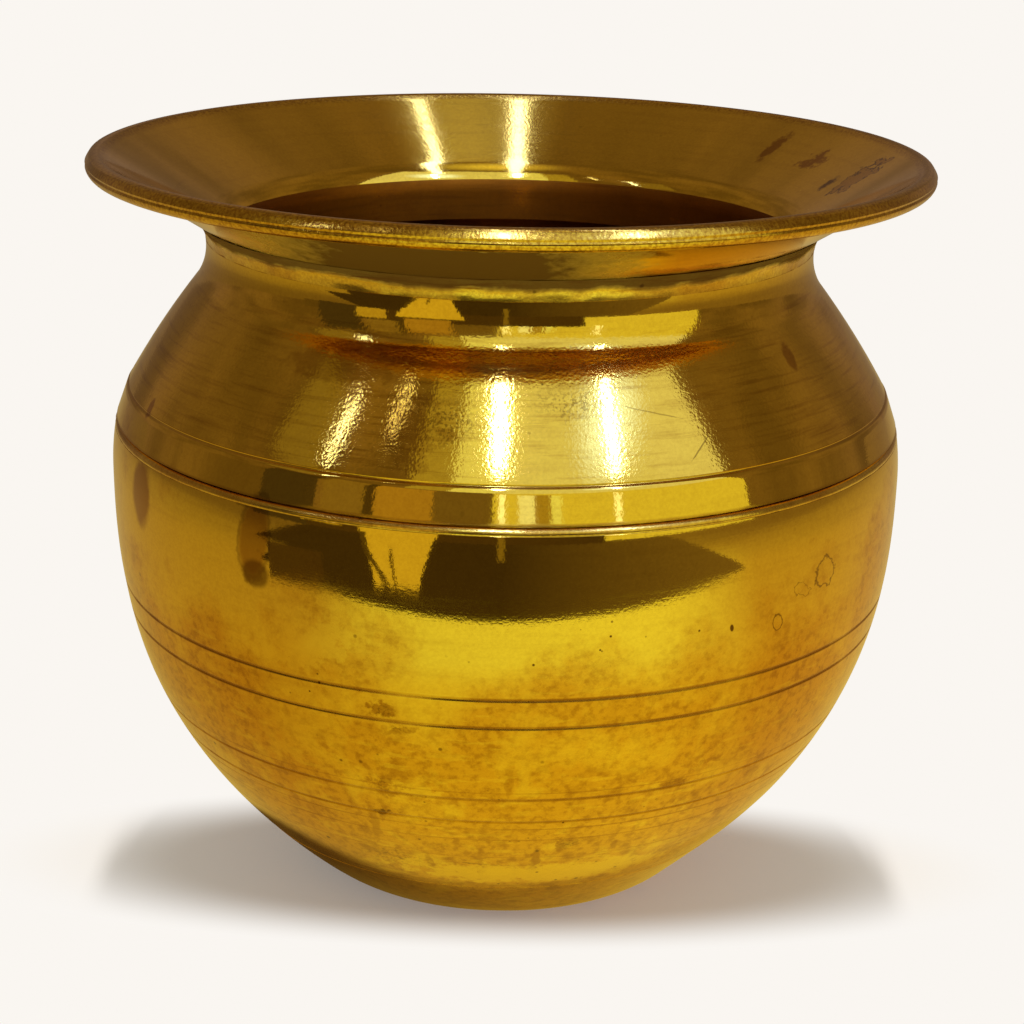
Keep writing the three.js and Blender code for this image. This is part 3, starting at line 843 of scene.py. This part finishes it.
def makeMouth():
    collarFoot = Vector((collarRadius, vessel["neckHeight"] - vessel["neckLap"]))
    under = arcPoints(throatCentre, vessel["neckHollow"], math.pi, acrossFlare, mouthPiece["throatSteps"])
    tuck = math.acos((vessel["wireSpace"] - vessel["rollOpening"]) / vessel["roll"])
    rollEnd = acrossFlare + tuck - 2 * math.pi
    hollow = arcPoints(rollCentre, vessel["wireSpace"], acrossFlare, rollEnd, mouthPiece["hollowSteps"])
    steps = mouthPiece["flareSteps"]
    flare = [under[-1].lerp(hollow[0], i / steps) for i in range(1, steps)]
    roll = []
    line, face = mouthPiece["rollLine"], mouthPiece["rollFace"]
    for i in range(mouthPiece["rollSteps"] + 1):
        angle = rollEnd + (acrossFlare - rollEnd) * i / mouthPiece["rollSteps"]
        cut = lineCut((angle - line["angle"]) * vessel["roll"], line)
        if face["from"] < angle < face["to"]:
            middle, half = (face["from"] + face["to"]) / 2, (face["to"] - face["from"]) / 2
            chord = math.cos(half) / math.cos(angle - middle)
            cut += vessel["roll"] * (1 - chord) * face["flatness"]
        roll.append(around(rollCentre, vessel["roll"] - cut, angle))
    inside = arcPoints(throatCentre, vessel["neckHollow"] + vessel["mouthSheet"], acrossFlare, math.pi,
                       mouthPiece["throatSteps"])
    top = [roll[-1].lerp(inside[0], i / steps) for i in range(1, steps)]
    collarInside = Vector((collarRadius - vessel["mouthSheet"], collarFoot.y))
    outline = [collarFoot, *under, *flare, *hollow, *roll, *top, *inside, collarInside]
    return turnedPiece("mouth", outline, [outsideBrass, insideBrass], "mouth_flange")


# The brazed joints, whose filler lies against both walls

brazePiece = {
    "faceSteps": 14, "baseRecess": 0.02, "neckLumps": (0.12, 1.8),
    "bead": {"gap": 0.30, "round": 0.80, "turn": 80, "steps": 12, "lumps": (0.05, 1.6), "foot": (0.02, 0.03)},
}


def makeNeckBraze():
    floor = vessel["neckTop"]
    reach = vessel["neckHollow"]
    apart = throatCentre - cornerCentre
    lean = math.atan2(apart.y, apart.x) % (2 * math.pi)
    edgeAngle = lean - math.acos(apart.length / 2 / reach)
    edge = around(cornerCentre, reach, edgeAngle)
    faceFoot = math.pi - math.asin((floor - cornerCentre.y) / reach)
    backFoot = math.pi - math.asin((floor - throatCentre.y) / reach)
    toEdge = edge - throatCentre
    backTop = math.atan2(toEdge.y, toEdge.x) % (2 * math.pi)
    face = arcPoints(cornerCentre, reach, faceFoot, edgeAngle, brazePiece["faceSteps"])
    back = arcPoints(throatCentre, reach, backTop, backFoot, brazePiece["faceSteps"])[1:]
    return turnedPiece("neckBraze", face + back, [brazeBrass], "neck_braze",
                       unevenness=brazePiece["neckLumps"])


def makeBaseBraze():
    seam, width, depth = vessel["baseSeam"], vessel["baseSeamWidth"], vessel["lipDepth"]
    recess = brazePiece["baseRecess"]
    outline = [seamPoint(seam + width / 2 * recess / depth, recess), seamPoint(seam + width, recess),
               seamPoint(seam + width, depth), seamPoint(seam + width / 2, depth)]
    return turnedPiece("baseBraze", outline, [outsideBrass], "base_braze")


def makeBellyBraze():
    # The bead stands flush with the bowl and rounds over to a thin dark gap under the shoulder
    bead = brazePiece["bead"]
    low, high = vessel["bellySeam"] + bowlPiece["coverRise"], vessel["bellySeam"] + vessel["bellySeamWidth"]
    depth = vessel["lipDepth"]
    centre = Vector((bowlRadius(low) - bead["round"], high - bead["gap"] - bead["round"]))
    face = arcPoints(centre, bead["round"], 0, math.radians(bead["turn"]), bead["steps"])
    rise, sunk = bead["foot"]
    outline = [seamPoint(low + rise, sunk), *face, seamPoint(high - bead["gap"], depth), seamPoint(low, depth)]
    return turnedPiece("bellyBraze", outline, [brazeBrass], "belly_braze",
                       unevenness=bead["lumps"])


for makePiece in (makeBase, makeBowl, makeShoulder, makeMouth, makeNeckBraze, makeBellyBraze, makeBaseBraze):
    makePiece()
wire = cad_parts["rim_wire"]
wire.data.materials.clear()
wire.data.materials.append(outsideBrass)
for polygon in wire.data.polygons:
    polygon.material_index = 0

# Studio: pale floor, soft light from above, and what the metal mirrors round the vessel. Sizes of the lamp,
# the room and the floor are in m, those of the eye, the shadow and the room's patches in mm.

studio = {
    "floorColour": (0.956, 0.922, 0.879, 1), "floorMatt": (0.660, 0.635, 0.605, 1),
    "lampPower": 1050, "lampHeight": 12.0, "lampBehind": 1.6,
    "lampSize": (0.4, 3.0), "floorGlow": 0.20,
    "fill": (0.47, 0.45, 0.36, 1),
    "room": (0.14, 0.092, 0.06, 1), "roomBright": (0.24, 0.16, 0.115, 1),
    "roomRadius": 7.5, "roomPatches": 2600.0, "roomLevels": (0.35, 0.65),
    "floorHalf": 9, "eye": (0, 0, 75), "patchGrid": (12, 8), "flareColour": (1, 1.25, 5.0),
    "shadowOval": {"centre": (0, -9, 0), "reach": (58, 19, 1000), "full": 0.80, "none": 1.40},
}
# The floor as the metal mirrors it, with painted shade round the vessel: colours by distance from the axis in
# mm, in front and at the sides
floorSeenInMetal = {
    "above": 0.1,
    "footShadow": {"squash": (0.8, 1, 1), "start": 30.5, "end": 34.0, "half": 26,
                "left": (0.12, 0.062, 0.010), "right": (0.62, 0.42, 0.055)},
    "reach": 1000,
    "front": [(20, (0.30, 0.20, 0.03)), (31, (0.72, 0.54, 0.07)), (45, (1.0, 0.88, 0.16)),
              (110, (0.92, 0.82, 0.22)), (135, (0.99, 1.03, 0.44)), (230, (1.02, 1.08, 0.46)),
              (420, (0.40, 0.32, 0.14)), (900, (0.27, 0.20, 0.10))],
    "side": [(24, (0.50, 0.36, 0.06)), (45, (0.76, 0.55, 0.11)), (110, (0.71, 0.51, 0.13)),
             (170, (0.62, 0.45, 0.16)), (300, (0.47, 0.35, 0.15)), (600, (0.27, 0.19, 0.11)),
             (900, (0.24, 0.165, 0.10))],
    "frontAzimuth": 7, "frontLevels": (0.48, 0.95), "sideLevels": (-0.9, 0.9), "shares": (0.80, 1.04),
}
floorEdges = {
    "floorEdge": {"centre": (0, 116), "radius": 295, "reach": 7300, "from": -42, "to": 42,
                  "left": (0.055, 0.036, 0.026), "right": (0.20, 0.140, 0.09), "spread": 60},
    "floorEdgeLeft": {"centre": (0, 116), "radius": 400, "reach": 7300, "from": -51, "to": -42,
                      "left": (0.055, 0.036, 0.026), "right": (0.055, 0.036, 0.026), "spread": 60},
}

# Patches of the room by azimuth from the front and elevation, in degrees, and distance in mm: seen only
# in the metal, where nearer patches hide those behind them
roomPatches = {
    "wallHigh": {"azimuths": (-3, 50), "elevations": (30, 61), "colour": (0.88, 0.98, 1.6), "away": 5200},
    "wallHighRight": {"azimuths": (50, 72), "elevations": (30, 61), "colour": (0.90, 1.0, 1.8), "away": 5200},
    "wallLow": {"azimuths": (-3, 72), "elevations": (-3, 30), "colour": (0.84, 0.82, 0.36), "away": 5200},
    "wallLeftA": {"azimuths": (-17, -3), "elevations": (30, 60), "colour": (0.92, 1.05, 1.4), "away": 5200},
    "wallLeftB": {"azimuths": (-31, -17), "elevations": (31, 57), "colour": (0.44, 0.38, 0.20), "away": 5200},
    "wallFarLeft": {"azimuths": (-79, -61), "elevations": (31, 45), "colour": (0.27, 0.21, 0.12), "away": 5200},
    "windowLeft": {"azimuths": (4, 8.5), "elevations": (12, 23), "colour": (1.1, 1.3, 2.8), "away": 4600},
    "pier": {"azimuths": (8.5, 13), "elevations": (5, 24), "colour": (0.46, 0.36, 0.14), "away": 4600},
    "windowRight": {"azimuths": (13, 16), "elevations": (12, 22), "colour": (0.98, 1.15, 1.3), "away": 4600},
    "frontDark": {"azimuths": (-66, 27), "elevations": (-12, 13.5), "colour": (0.075, 0.047, 0.030),
                  "away": 2000},
    "frontDarkLeft": {"azimuths": (-78, -66), "elevations": (-12, 6), "colour": (0.12, 0.080, 0.050),
                      "away": 2000},
    "frontDarkNear": {"azimuths": (-59, -44), "elevations": (-24, -13), "colour": (0.075, 0.047, 0.030),
                      "away": 215},
    "darkPost": {"azimuths": (-71, -54), "elevations": (-12, 28), "colour": (0.07, 0.050, 0.045),
                 "away": 1500},
    "olivePanel": {"azimuths": (-52, -40), "elevations": (13, 30), "colour": (0.26, 0.185, 0.11),
                   "away": 1500},
    "darkStripe": {"azimuths": (-40, -37), "elevations": (5, 30), "colour": (0.08, 0.055, 0.035),
                   "away": 1500},
    "orangePanel": {"azimuths": (-37, -20), "elevations": (8, 28), "colour": (0.44, 0.29, 0.11), "away": 1500},
    "darkDoor": {"azimuths": (-20, -3), "elevations": (13, 29), "colour": (0.19, 0.135, 0.09), "away": 1500},
    "island": {"azimuths": (-37, -13.5), "elevations": (-23, 9), "colour": (0.70, 0.56, 0.16), "away": 225,
               "taper": 0.6},
    "islandStem": {"azimuths": (-34.4, -33), "elevations": (-23, -2), "colour": (0.10, 0.07, 0.03),
                   "away": 222, "lean": 9},
    "islandStalk": {"azimuths": (-27, -26.3), "elevations": (-23, -8), "colour": (0.12, 0.08, 0.03),
                    "away": 222, "lean": 2},
    "islandLeft": {"azimuths": (-53, -42), "elevations": (0, 12), "colour": (0.52, 0.40, 0.13), "away": 400},
}
# Lamps under the ceiling: points as x and y in mm at one height, each with the lamp's width there
lampHeight = 1100
lampStreaks = {
    "flareMiddle": {"points": [(-11, 440, 8), (-11, 345, 22), (-11, 270, 50), (-16, -560, 60)],
                    "strength": 4.5},
    "flareRight": {"points": [(130, 440, 8), (158, 375, 22), (182, 320, 50), (470, -540, 60)],
                   "strength": 4.5},
    "streakMiddle": {"points": [(-28, -600, 45), (-33, -813, 60), (-36, -1080, 56)], "strength": 20},
    "streakRight": {"points": [(520, -560, 35), (553, -625, 46), (715, -965, 40)], "strength": 20},
}
# Haloes round the lamps: centre and half sizes in mm, how far above the lamps, colour at the middle
glows = {
    "flareGlow": {"centre": (90, 360), "half": (190, 150), "above": 12, "colour": (0.34, 0.36, 0.5)},
    "throatGlow": {"centre": (70, -140), "half": (330, 430), "above": 12, "colour": (0.75, 0.75, 0.5)},
    "shoulderGlow": {"centre": (-33, -860), "half": (130, 400), "above": 12, "colour": (0.6, 0.8, 2.6)},
    "shoulderGlowRight": {"centre": (610, -760), "half": (270, 420), "above": 12,
                          "colour": (0.6, 1.3, 10.0)},
}
smallLamps = {
    "lampLeft": {"azimuths": (-60.0, -59.3), "elevations": (36, 46), "colour": (12.0, 15.0, 60.0),
                 "away": 4800},
    "lampLeftFaint": {"azimuths": (-43.2, -42.4), "elevations": (45, 53), "colour": (5.0, 5.5, 14.0),
                      "away": 4800},
    "slitMiddle": {"azimuths": (-1.3, 0.3), "elevations": (12, 26), "colour": (1.6, 1.9, 5.0), "away": 4500},
    "slitRight": {"azimuths": (31.6, 33.2), "elevations": (12, 26), "colour": (1.6, 1.9, 5.0), "away": 4500},
    "slitLow": {"azimuths": (-1.3, 0.3), "elevations": (-10, 12), "colour": (0.24, 0.18, 0.08), "away": 345},
}


def emission(name, colour, strength=1.0):
    material, tree = newMaterial(name)
    showShader(tree, addNode(tree, "ShaderNodeEmission", {0: (*colour[:3], 1), 1: strength}))
    return material


def stagePiece(name, bm, material, reflectedOnly=True):
    piece = addPiece(name, bm, [material])
    if reflectedOnly:
        piece.visible_camera = piece.visible_diffuse = piece.visible_shadow = False
        piece.visible_transmission = False
    return piece


def direction(azimuth, elevation):
    turn, rise = math.radians(azimuth), math.radians(elevation)
    return Vector((math.sin(turn) * math.cos(rise), -math.cos(turn) * math.cos(rise), math.sin(rise)))


def makePatch(name, patch):
    bm = bmesh.new()
    columns, rows = studio["patchGrid"]
    bmesh.ops.create_grid(bm, x_segments=columns, y_segments=rows, size=1)
    (azimuth, azimuthEnd), (elevation, elevationEnd) = patch["azimuths"], patch["elevations"]
    for vertex in bm.verts:
        up = (vertex.co.y + 1) / 2
        across = (1 + vertex.co.x * (1 - patch.get("taper", 0) * (1 - up))) / 2
        turn = azimuth + (azimuthEnd - azimuth) * across + patch.get("lean", 0) * (1 - up) ** 2
        towards = direction(turn, elevation + (elevationEnd - elevation) * up)
        vertex.co = (Vector(studio["eye"]) + towards * patch["away"]) * mm
    return stagePiece(name, bm, emission(name, patch["colour"]))


def makeStreak(name, streak):
    bm = bmesh.new()
    rows = []
    points = [Vector((x, y, lampHeight)) for x, y, width in streak["points"]]
    for i, point in enumerate(points):
        run = points[min(i + 1, len(points) - 1)] - points[max(i - 1, 0)]
        side = Vector((-run.y, run.x, 0)).normalized() * streak["points"][i][2] / 2
        rows.append([bm.verts.new((point + side) * mm), bm.verts.new((point - side) * mm)])
    for (first, second), (third, fourth) in zip(rows, rows[1:]):
        bm.faces.new((first, second, fourth, third))
    return stagePiece(name, bm, emission(name, studio["flareColour"], streak["strength"]))


def makeGlow(name, glow):
    bm = bmesh.new()
    bmesh.ops.create_grid(bm, x_segments=1, y_segments=1, size=1)
    halfX, halfY = glow["half"]
    centre = Vector((*glow["centre"], lampHeight + glow["above"])) * mm
    for vertex in bm.verts:
        vertex.co = centre + Vector((vertex.co.x * halfX, vertex.co.y * halfY, 0)) * mm
    material = emission(name, glow["colour"])
    tree = material.node_tree
    off = vectors(tree, "SUBTRACT", objectPlace(tree), centre)
    reach = lengthOf(tree, vectors(tree, "DIVIDE", off, (halfX * mm, halfY * mm, 1)))
    tree.links.new(ranged(tree, reach, 1.0, 0.0, smooth=True), tree.nodes["Emission"].inputs[1])
    clear = addNode(tree, "ShaderNodeBsdfTransparent")
    both = addNode(tree, "ShaderNodeAddShader", {0: clear.outputs[0], 1: tree.nodes["Emission"].outputs[0]})
    tree.links.new(both.outputs[0], tree.nodes["Material Output"].inputs[0])
    stagePiece(name, bm, material)


def colourRamp(tree, distance, stops):
    share = sums(tree, "DIVIDE", distance, floorSeenInMetal["reach"])
    ramp = addNode(tree, "ShaderNodeValToRGB", {0: share})
    elements = ramp.color_ramp.elements
    while len(elements) < len(stops):
        elements.new(0.5)
    for element, (reach, colour) in zip(elements, stops):
        element.position, element.color = reach / floorSeenInMetal["reach"], (*colour, 1)
    return ramp.outputs[0]


def seenRays(tree):
    # Rays that should show the plain backdrop: the camera's, and those mirrored or let through
    path = addNode(tree, "ShaderNodeLightPath").outputs
    return sums(tree, "MAXIMUM", path["Is Camera Ray"],
                sums(tree, "MAXIMUM", path["Is Glossy Ray"], path["Is Transmission Ray"]))


def makeFloor():
    material, tree = newMaterial("paleFloor")
    matt = addNode(tree, "ShaderNodeBsdfDiffuse", {0: studio["floorMatt"]})
    glow = addNode(tree, "ShaderNodeEmission", {0: studio["floorColour"], 1: studio["floorGlow"]})
    lit = addNode(tree, "ShaderNodeAddShader", {0: matt.outputs[0], 1: glow.outputs[0]})
    # Away from the vessel's shadow the floor has the backdrop's even tone
    shade = studio["shadowOval"]
    off = vectors(tree, "SUBTRACT", scaled(tree, objectPlace(tree), 1 / mm), shade["centre"])
    share = lengthOf(tree, vectors(tree, "DIVIDE", off, shade["reach"]))
    outside = ranged(tree, share, shade["full"], shade["none"], smooth=True)
    even = addNode(tree, "ShaderNodeEmission", {0: studio["floorColour"], 1: 1.0})
    showShader(tree, addNode(tree, "ShaderNodeMixShader", {
        0: product(tree, outside, seenRays(tree)), 1: lit.outputs[0], 2: even.outputs[0]}))
    bm = bmesh.new()
    bmesh.ops.create_grid(bm, x_segments=1, y_segments=1, size=studio["floorHalf"])
    stagePiece("floor", bm, material, reflectedOnly=False)


def makeMirroredFloor():
    # A tinted sheet on the floor that only the metal mirrors, with painted shade near the vessel
    look = floorSeenInMetal
    material = emission("mirroredFloor", (1, 1, 1))
    tree = material.node_tree
    shader = tree.nodes["Emission"]
    inMm = vectors(tree, "MULTIPLY", scaled(tree, objectPlace(tree), 1 / mm), (1, 1, 0))
    reach = lengthOf(tree, inMm)
    unit = vectors(tree, "NORMALIZE", inMm)
    facing = addNode(tree, "ShaderNodeVectorMath", {0: unit, 1: direction(look["frontAzimuth"], 0)},
                     operation="DOT_PRODUCT").outputs["Value"]
    inFront = ranged(tree, facing, *look["frontLevels"], smooth=True)
    atSide, atFront = colourRamp(tree, reach, look["side"]), colourRamp(tree, reach, look["front"])
    colour = blended(tree, inFront, atSide, atFront)
    # Painted shadow close to the foot, darkest on the left
    footShadow = look["footShadow"]
    near = lengthOf(tree, vectors(tree, "MULTIPLY", inMm, footShadow["squash"]))
    near = ranged(tree, near, footShadow["end"], footShadow["start"], smooth=True)
    across = ranged(tree, split(tree, inMm)[0], -footShadow["half"], footShadow["half"])
    tone = blended(tree, across, (*footShadow["left"], 1), (*footShadow["right"], 1))
    colour = blended(tree, near, colour, tone)
    # Painted shade: the mirrored floor is dimmer on the left than on the right
    left, right = look["shares"]
    share = total(tree, ranged(tree, split(tree, unit)[0], *look["sideLevels"], right - left), left)
    tree.links.new(colour, shader.inputs[0])
    tree.links.new(share, shader.inputs[1])
    bm = bmesh.new()
    bmesh.ops.create_grid(bm, x_segments=1, y_segments=1, size=studio["floorHalf"])
    bmesh.ops.translate(bm, verts=bm.verts, vec=(0, 0, look["above"] * mm))
    stagePiece("mirroredFloor", bm, material)


def makeFloorEdge(name, edge):
    # In front, the pale floor that the metal mirrors ends in a dark curve
    bm = bmesh.new()
    start = Vector((edge["centre"][0], edge["centre"][1] - edge["radius"], 1)) * mm
    end = Vector((edge["centre"][0], edge["centre"][1] - edge["reach"], 1)) * mm
    turn = Matrix.Rotation(math.radians(edge["from"]), 4, "Z")
    middle = Vector((*edge["centre"], 0)) * mm
    ends = [bm.verts.new(middle + turn @ (point - middle)) for point in (start, end)]
    line = bm.edges.new(ends)
    bmesh.ops.spin(bm, geom=[*ends, line], cent=middle, axis=(0, 0, 1),
                   angle=math.radians(edge["to"] - edge["from"]), steps=32)
    dark = emission(name, edge["left"])
    tree = dark.node_tree
    side = split(tree, vectors(tree, "NORMALIZE", objectPlace(tree)))[0]
    share = ranged(tree, side, 0.0, math.sin(math.radians(edge["spread"])))
    colour = blended(tree, share, (*edge["left"], 1), (*edge["right"], 1))
    tree.links.new(colour, tree.nodes["Emission"].inputs[0])
    stagePiece(name, bm, dark)


def makeRoom():
    # The room behind the patches, seen only in the metal
    bm = bmesh.new()
    bmesh.ops.create_uvsphere(bm, u_segments=48, v_segments=24, radius=studio["roomRadius"])
    room = stagePiece("room", bm, emission("roomWalls", studio["room"]))
    tree = room.data.materials[0].node_tree
    low, high = studio["roomLevels"]
    uneven = placedGroup(tree, blotches, {
        "Vector": objectPlace(tree), "Size": studio["roomPatches"], "Low": low, "High": high}, 0)
    colour = blended(tree, uneven, studio["room"], studio["roomBright"])
    tree.links.new(colour, tree.nodes["Emission"].inputs[0])


def makeWorld():
    world = bpy.data.worlds.new("studioWorld")
    scene.world = world
    world.use_nodes = True
    tree = world.node_tree
    tree.nodes.clear()
    colour = blended(tree, seenRays(tree), studio["fill"], studio["floorColour"])
    light = addNode(tree, "ShaderNodeBackground", {0: colour, 1: 1.0})
    output = tree.nodes.new("ShaderNodeOutputWorld")
    tree.links.new(light.outputs[0], output.inputs[0])


def makeLamp():
    data = bpy.data.lights.new("overhead", "AREA")
    data.shape, data.energy = "RECTANGLE", studio["lampPower"]
    data.size, data.size_y = studio["lampSize"]
    lamp = bpy.data.objects.new("overhead", data)
    lamp.location = (0, studio["lampBehind"], studio["lampHeight"])
    lamp.visible_glossy = lamp.visible_camera = False
    scene.collection.objects.link(lamp)


makeFloor()
makeMirroredFloor()
for edgeName, edge in floorEdges.items():
    makeFloorEdge(edgeName, edge)
makeRoom()
makeWorld()
makeLamp()
for patchName, patch in {**roomPatches, **smallLamps}.items():
    makePatch(patchName, patch)
for streakName, streak in lampStreaks.items():
    makeStreak(streakName, streak)
for glowName, glow in glows.items():
    makeGlow(glowName, glow)
print("studio made")
